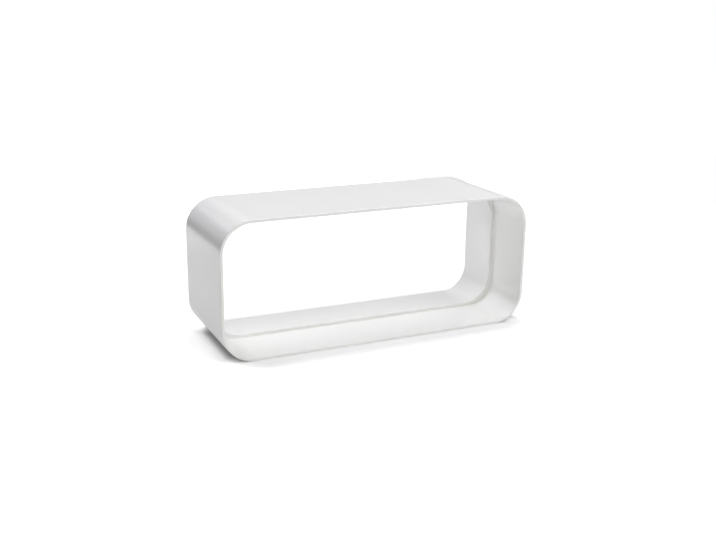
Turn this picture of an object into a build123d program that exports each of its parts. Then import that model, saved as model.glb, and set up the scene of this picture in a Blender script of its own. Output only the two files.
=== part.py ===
from build123d import *
import os

# Flat duct that slides in from each end, outside sizes
DUCT_WIDTH = 222.0
DUCT_HEIGHT = 89.0
DUCT_CORNER_RADIUS = 19.5

# Play on each side of the duct, at the mouth of a socket and where the end of the duct seats
MOUTH_CLEARANCE = 0.5
SEAT_CLEARANCE = 0.1

# Moulded wall of the sleeve
SOCKET_DEPTH = 38.8
RIM_WALL = 2.0
RIM_EDGE_RADIUS = 0.4

# Stop rib between the sockets, whose inner corners are rounder than the wall's by the corner ease
STOP_WIDTH = 1.4
STOP_HEIGHT = 2.2
STOP_CORNER_EASE = 3.2
STOP_ROOT_RADIUS = 0.3
STOP_EDGE_RADIUS = 0.3

# Sizes that follow from the duct and its clearances
rim_offset = MOUTH_CLEARANCE + RIM_WALL
outer_width = DUCT_WIDTH + 2 * rim_offset
outer_height = DUCT_HEIGHT + 2 * rim_offset
outer_radius = DUCT_CORNER_RADIUS + rim_offset
length = 2 * SOCKET_DEPTH + STOP_WIDTH
seat_wall = rim_offset - SEAT_CLEARANCE
stop_foot = seat_wall + STOP_HEIGHT / 2
stop_tip = seat_wall + STOP_HEIGHT
stop_corner_radius = outer_radius - stop_tip + STOP_CORNER_EASE


def wall_section():
    """Section through one wall: x runs along the duct, y runs inward from the outer face."""
    outline = Polyline(
        (-length / 2, 0),
        (length / 2, 0),
        (length / 2, RIM_WALL),
        (STOP_WIDTH / 2, seat_wall),
        (STOP_WIDTH / 2, stop_foot),
        (-STOP_WIDTH / 2, stop_foot),
        (-STOP_WIDTH / 2, seat_wall),
        (-length / 2, RIM_WALL),
        close=True,
    )
    section = make_face(outline)
    rim_corners = section.vertices().group_by(lambda v: abs(v.X))[-1]
    section = fillet(rim_corners, RIM_EDGE_RADIUS)
    root_corners = [v for v in section.vertices() if abs(v.Y - seat_wall) < 1e-6]
    return fillet(root_corners, STOP_ROOT_RADIUS)


def sleeve_wall():
    """The wall section carried once round the outer outline of the sleeve."""
    path = (Plane.XZ * RectangleRounded(outer_width, outer_height, outer_radius)).wire()
    start = Plane(origin=path @ 0, x_dir=(0, 1, 0), z_dir=path % 0)
    return sweep(start * wall_section(), path=path)


def stop_frame():
    """The inner part of the stop rib, which fills the corners more than a plain rib would."""
    foot = RectangleRounded(
        outer_width - 2 * seat_wall,
        outer_height - 2 * seat_wall,
        outer_radius - seat_wall,
    )
    opening = RectangleRounded(
        outer_width - 2 * stop_tip,
        outer_height - 2 * stop_tip,
        stop_corner_radius,
    )
    frame = extrude(Plane.XZ * (foot - opening), amount=STOP_WIDTH / 2, both=True)
    inner_wires = [face.inner_wires()[0] for face in frame.faces().filter_by(Axis.Y)]
    inner_edges = [edge for wire in inner_wires for edge in wire.edges()]
    return fillet(inner_edges, STOP_EDGE_RADIUS)


connector_sleeve = sleeve_wall() + stop_frame()

os.makedirs("parts", exist_ok=True)
export_step(connector_sleeve, "parts/connector_sleeve.step")
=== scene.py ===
import math

import bpy
from mathutils import Matrix, Vector


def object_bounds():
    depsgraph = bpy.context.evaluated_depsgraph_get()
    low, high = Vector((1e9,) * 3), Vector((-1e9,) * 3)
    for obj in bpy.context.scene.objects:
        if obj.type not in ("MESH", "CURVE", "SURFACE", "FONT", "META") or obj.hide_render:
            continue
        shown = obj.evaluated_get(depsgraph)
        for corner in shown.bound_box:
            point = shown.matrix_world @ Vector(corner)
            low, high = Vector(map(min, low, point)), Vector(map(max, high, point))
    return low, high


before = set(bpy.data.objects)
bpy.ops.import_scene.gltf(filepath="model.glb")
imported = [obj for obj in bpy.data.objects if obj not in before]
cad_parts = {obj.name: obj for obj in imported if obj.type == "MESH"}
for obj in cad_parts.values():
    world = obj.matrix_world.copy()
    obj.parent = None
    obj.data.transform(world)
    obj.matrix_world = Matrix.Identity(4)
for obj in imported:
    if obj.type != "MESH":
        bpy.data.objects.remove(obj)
cad_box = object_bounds()

# Camera: place and lens worked out from the photograph's edges, in metres and degrees
CAMERA_AIM = Vector((-0.00095, -0.00123, -0.00616))
CAMERA_DISTANCE = 0.6967
CAMERA_AZIMUTH = -25.02
CAMERA_ELEVATION = 16.39
CAMERA_ROLL = 0.58
CAMERA_LENS = 49.37
SENSOR_WIDTH = 36.0

# Darker and paler tint of each surface, and the plastic's least and most roughness
PLASTIC_TINTS = ((0.897, 0.897, 0.884), (0.912, 0.912, 0.899))
PLASTIC_ROUGHNESS = (0.29, 0.35)
SHEET_TINTS = ((0.915, 0.915, 0.915), (0.925, 0.925, 0.925))
FELT_TINTS = ((0.015, 0.015, 0.015), (0.025, 0.025, 0.025))

# White sheet that the sleeve lies on, and the dark surround that rises from it in a ring
FLOOR_HEIGHT = cad_box[0][2]
FLOOR_REACH = 8.0
SURROUND_FOOT_RADIUS = 0.55
SURROUND_TOP_RADIUS = 1.1
SURROUND_TOP_HEIGHT = 0.40
RING_SIDES = 96

# Patch of the sheet round which the shadow stays: middle and half size, in x and in y
SHADE_X = (0.0070, 0.0850)
SHADE_Y = (-0.0035, 0.0240)

# White that the backdrop adds to the sheet: distance from that patch, and strength there
LIFT_STOPS = ((0.020, 0.03), (0.026, 0.15), (0.032, 0.50), (0.070, 0.49), (0.200, 0.43), (0.400, 1.0))
LIFT_REACH = LIFT_STOPS[-1][0]

# Painted shade on the sheet, a darker strip under the sleeve: half size and soft edge, in x and in y, and
# its tone
FOOT_X = (0.104, 0.012)
FOOT_Y = (0.022, 0.016)
FOOT_PAINTED_SHADE = 0.25

# Soft lamps: name, place, size, watts and colour
COOL = (0.985, 0.985, 1.040)
BLUE = (0.975, 0.976, 1.060)
PLAIN = (1.0, 1.0, 1.0)
WARM = (1.030, 1.020, 0.870)
LAMPS = (
    ("front", (0.00, -0.66, 0.68), (0.60, 0.50), 1.10, PLAIN),
    ("front right", (0.33, -0.57, 0.68), (0.60, 0.50), 2.45, PLAIN),
    ("right front", (0.86, -0.50, 1.02), (0.90, 0.75), 2.25, COOL),
    ("right top", (0.50, -0.29, 1.31), (1.05, 1.05), 4.20, COOL),
    ("right back", (0.86, 0.50, 1.02), (0.90, 0.75), 5.70, PLAIN),
    ("back", (0.00, 0.66, 0.68), (0.35, 0.30), 1.20, COOL),
    ("back left", (-0.33, 0.57, 0.68), (0.35, 0.30), 1.85, BLUE),
    ("back left mid", (-0.33, 0.58, 0.34), (0.25, 0.20), 0.48, COOL),
    ("back left low", (-0.27, 0.47, 0.10), (0.22, 0.10), 0.08, COOL),
    ("front left", (-0.33, -0.58, 0.34), (0.25, 0.20), 0.69, WARM),
)


def add_node(tree, kind, place, **values):
    """Adds a shader node and sets the named inputs on its own sockets."""
    node = tree.nodes.new(kind)
    node.location = place
    for name, value in values.items():
        node.inputs[name.replace("_", " ")].default_value = value
    return node


def add_math(tree, operation, place, first, second=None):
    """Adds a maths node; each term is another node's output or a number."""
    node = add_node(tree, "ShaderNodeMath", place)
    node.operation = operation
    for socket, term in zip(node.inputs, (first, second)):
        if isinstance(term, bpy.types.NodeSocket):
            tree.links.new(term, socket)
        elif term is not None:
            socket.default_value = term
    return node.outputs[0]


def new_material(name):
    material = bpy.data.materials.new(name)
    material.use_nodes = True
    tree = material.node_tree
    tree.nodes.clear()
    output = add_node(tree, "ShaderNodeOutputMaterial", (900, 0))
    return material, tree, output


def wandering_tint(tree, coordinates, place, tints, stops=(0.0, 1.0), **noise):
    """A colour that wanders between two tints, which a noise texture reaches at the two stops."""
    texture = add_node(tree, "ShaderNodeTexNoise", place, **noise)
    tree.links.new(coordinates, texture.inputs["Vector"])
    ramp = add_node(tree, "ShaderNodeValToRGB", (place[0] + 200, place[1]))
    for element, stop, tint in zip(ramp.color_ramp.elements, stops, tints):
        element.position = stop
        element.color = (*tint, 1)
    tree.links.new(texture.outputs["Fac"], ramp.inputs["Fac"])
    return ramp.outputs["Color"]


def white_plastic():
    """Satin moulded plastic: faint clouding, marks along the draw, and a fine grain."""
    material, tree, output = new_material("white_plastic")
    link = tree.links.new
    shader = add_node(tree, "ShaderNodeBsdfPrincipled", (600, 0), IOR=1.5)
    link(shader.outputs["BSDF"], output.inputs["Surface"])
    coordinates = add_node(tree, "ShaderNodeTexCoord", (-900, 0)).outputs["Object"]

    clouds = wandering_tint(
        tree, coordinates, (-500, 300), PLASTIC_TINTS, (0.3, 0.7), Scale=22.0, Detail=3.0, Roughness=0.55
    )
    link(clouds, shader.inputs["Base Color"])

    drawn = add_node(tree, "ShaderNodeMapping", (-700, -100), Scale=(260.0, 4.0, 260.0))
    link(coordinates, drawn.inputs["Vector"])
    marks = add_node(tree, "ShaderNodeTexNoise", (-500, -100), Scale=1.0, Detail=1.0, Roughness=0.4)
    link(drawn.outputs["Vector"], marks.inputs["Vector"])
    smoothest, roughest = PLASTIC_ROUGHNESS
    sheen = add_node(
        tree,
        "ShaderNodeMapRange",
        (-200, -50),
        From_Min=0.25,
        From_Max=0.75,
        To_Min=smoothest,
        To_Max=roughest,
    )
    link(marks.outputs["Fac"], sheen.inputs["Value"])
    link(sheen.outputs["Result"], shader.inputs["Roughness"])

    grain = add_node(tree, "ShaderNodeTexNoise", (-500, -400), Scale=2600.0, Detail=2.0, Roughness=0.5)
    link(coordinates, grain.inputs["Vector"])
    mark_bump = add_node(tree, "ShaderNodeBump", (-200, -300), Strength=0.15, Distance=0.00002)
    link(marks.outputs["Fac"], mark_bump.inputs["Height"])
    grain_bump = add_node(tree, "ShaderNodeBump", (100, -300), Strength=0.25, Distance=0.00001)
    link(grain.outputs["Fac"], grain_bump.inputs["Height"])
    link(mark_bump.outputs["Normal"], grain_bump.inputs["Normal"])
    link(grain_bump.outputs["Normal"], shader.inputs["Normal"])
    return material


def backdrop_rays(tree, place):
    """1 for the rays that show the white backdrop: straight from the camera, mirrored or passed through."""
    left, row = place
    path = add_node(tree, "ShaderNodeLightPath", place)
    camera_ray = path.outputs["Is Camera Ray"]
    seen = add_math(tree, "ADD", (left + 200, row), camera_ray, path.outputs["Is Glossy Ray"])
    return add_math(tree, "ADD", (left + 400, row), seen, path.outputs["Is Transmission Ray"])


def past_reach(tree, coordinate, middle, reach, row):
    """How far a coordinate lies past either end of a stretch, below 0 inside it."""
    shifted = add_math(tree, "SUBTRACT", (-900, row), coordinate, middle)
    offset = add_math(tree, "ABSOLUTE", (-700, row), shifted)
    return add_math(tree, "SUBTRACT", (-500, row), offset, reach)


def sheet_painted_shade(tree, axes):
    """Painted shade on the paper: dark in the strip under the sleeve, and 1 past its soft edge."""
    edges = []
    for axis, (reach, edge), row in (("X", FOOT_X, 600), ("Y", FOOT_Y, 800)):
        past = past_reach(tree, axes.outputs[axis], 0.0, reach, row)
        edges.append(add_math(tree, "DIVIDE", (-300, row), past, edge))
    tone = add_node(tree, "ShaderNodeMapRange", (0, 600), To_Min=FOOT_PAINTED_SHADE)
    tone.interpolation_type = "SMOOTHSTEP"
    tree.links.new(add_math(tree, "MAXIMUM", (-100, 700), *edges), tone.inputs["Value"])
    return tone.outputs["Result"]


def sheet_lift(tree, axes):
    """White that the backdrop adds to the sheet, by distance from the patch round which the shadow stays."""
    beyond = add_node(tree, "ShaderNodeCombineXYZ", (-100, -100))
    for axis, (middle, reach), row in (("X", SHADE_X, 0), ("Y", SHADE_Y, -200)):
        past = past_reach(tree, axes.outputs[axis], middle, reach, row)
        tree.links.new(add_math(tree, "MAXIMUM", (-300, row), past, 0.0), beyond.inputs[axis])
    gap = add_node(tree, "ShaderNodeVectorMath", (0, -100))
    gap.operation = "LENGTH"
    tree.links.new(beyond.outputs["Vector"], gap.inputs[0])
    share = add_math(tree, "DIVIDE", (100, -100), gap.outputs["Value"], LIFT_REACH)
    lift = add_node(tree, "ShaderNodeValToRGB", (250, -100))
    lift.color_ramp.interpolation = "EASE"
    for stop in LIFT_STOPS[2:]:
        lift.color_ramp.elements.new(stop[0] / LIFT_REACH)
    for element, (distance, strength) in zip(lift.color_ramp.elements, LIFT_STOPS):
        element.position = distance / LIFT_REACH
        element.color = (strength, strength, strength, 1)
    tree.links.new(share, lift.inputs["Fac"])
    return lift.outputs["Color"]


def floor_material():
    """White paper, which reads as pure white away from the sleeve and keeps the shadow beside it, with
    painted shade darkening a strip under the sleeve.
    """
    material, tree, output = new_material("white_sheet")
    link = tree.links.new
    position = add_node(tree, "ShaderNodeNewGeometry", (-1300, 0)).outputs["Position"]
    axes = add_node(tree, "ShaderNodeSeparateXYZ", (-1100, -200))
    link(position, axes.inputs["Vector"])

    fibres = wandering_tint(tree, position, (-300, 300), SHEET_TINTS, Scale=60.0, Detail=4.0)
    shaded = add_node(tree, "ShaderNodeVectorMath", (150, 400))
    shaded.operation = "SCALE"
    link(fibres, shaded.inputs[0])
    # painted shade: the paper's colour is darkened in the strip under the sleeve
    link(sheet_painted_shade(tree, axes), shaded.inputs["Scale"])
    paper = add_node(tree, "ShaderNodeBsdfDiffuse", (300, 300))
    link(shaded.outputs["Vector"], paper.inputs["Color"])

    rays = backdrop_rays(tree, (-300, -500))
    glow = add_node(tree, "ShaderNodeEmission", (500, -100))
    link(add_math(tree, "MULTIPLY", (400, -200), sheet_lift(tree, axes), rays), glow.inputs["Strength"])

    both = add_node(tree, "ShaderNodeAddShader", (700, 100))
    link(paper.outputs["BSDF"], both.inputs[0])
    link(glow.outputs["Emission"], both.inputs[1])
    link(both.outputs["Shader"], output.inputs["Surface"])
    return material


def surround_material():
    """Dark felt."""
    material, tree, output = new_material("dark_felt")
    position = add_node(tree, "ShaderNodeNewGeometry", (-500, 0)).outputs["Position"]
    nap = wandering_tint(tree, position, (-300, 0), FELT_TINTS, Scale=80.0, Detail=3.0)
    felt = add_node(tree, "ShaderNodeBsdfDiffuse", (400, 0))
    tree.links.new(nap, felt.inputs["Color"])
    tree.links.new(felt.outputs["BSDF"], output.inputs["Surface"])
    return material


def add_stage(name, vertices, faces, material):
    mesh = bpy.data.meshes.new(name)
    mesh.from_pydata(vertices, [], faces)
    mesh.materials.append(material)
    stage = bpy.data.objects.new(name, mesh)
    bpy.context.scene.collection.objects.link(stage)
    return stage


def ring(radius, height):
    turns = (2 * math.pi * i / RING_SIDES for i in range(RING_SIDES))
    return [(radius * math.cos(turn), radius * math.sin(turn), height) for turn in turns]


def add_floor():
    add_stage("floor", ring(FLOOR_REACH, FLOOR_HEIGHT), [tuple(range(RING_SIDES))], floor_material())


def add_surround():
    """A dark cone on the sheet, out of the camera's sight, for the dark band that the sleeve mirrors."""
    foot = ring(SURROUND_FOOT_RADIUS, FLOOR_HEIGHT)
    top = ring(SURROUND_TOP_RADIUS, SURROUND_TOP_HEIGHT)
    faces = []
    for i in range(RING_SIDES):
        j = (i + 1) % RING_SIDES
        faces.append((i, j, RING_SIDES + j, RING_SIDES + i))
    surround = add_stage("surround", foot + top, faces, surround_material())
    surround.visible_camera = False


def add_lamp(name, place, size, watts, color):
    """A soft lamp that faces the sleeve's middle."""
    light = bpy.data.lights.new(name, "AREA")
    light.shape = "RECTANGLE"
    light.size, light.size_y = size
    light.energy = watts
    light.color = color
    lamp = bpy.data.objects.new(name, light)
    lamp.location = place
    lamp.rotation_euler = (-place).to_track_quat("-Z", "Y").to_euler()
    bpy.context.scene.collection.objects.link(lamp)


def add_lamps():
    for name, place, size, watts, color in LAMPS:
        add_lamp(name, Vector(place), size, watts, color)


def add_camera():
    azimuth, elevation, roll = (math.radians(a) for a in (CAMERA_AZIMUTH, CAMERA_ELEVATION, CAMERA_ROLL))
    back = Vector((
        math.sin(azimuth) * math.cos(elevation),
        -math.cos(azimuth) * math.cos(elevation),
        math.sin(elevation),
    ))
    right = Vector((math.cos(azimuth), math.sin(azimuth), 0))
    up = back.cross(right)
    turn = Matrix.Rotation(roll, 3, back)
    axes = Matrix((turn @ right, turn @ up, back)).transposed()
    data = bpy.data.cameras.new("camera")
    data.sensor_width = SENSOR_WIDTH
    data.lens = CAMERA_LENS
    camera = bpy.data.objects.new("camera", data)
    camera.matrix_world = Matrix.Translation(CAMERA_AIM + back * CAMERA_DISTANCE) @ axes.to_4x4()
    bpy.context.scene.collection.objects.link(camera)
    bpy.context.scene.camera = camera


def set_world():
    """White backdrop that gives no light of its own."""
    world = bpy.data.worlds.new("studio")
    world.use_nodes = True
    tree = world.node_tree
    background = tree.nodes["Background"]
    background.inputs["Color"].default_value = (1, 1, 1, 1)
    tree.links.new(backdrop_rays(tree, (-600, 0)), background.inputs["Strength"])
    bpy.context.scene.world = world


bpy.context.scene.view_settings.view_transform = "Standard"

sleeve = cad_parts["connector_sleeve"]
sleeve.material_slots[0].material = white_plastic()

add_floor()
add_surround()
add_lamps()
set_world()
add_camera()
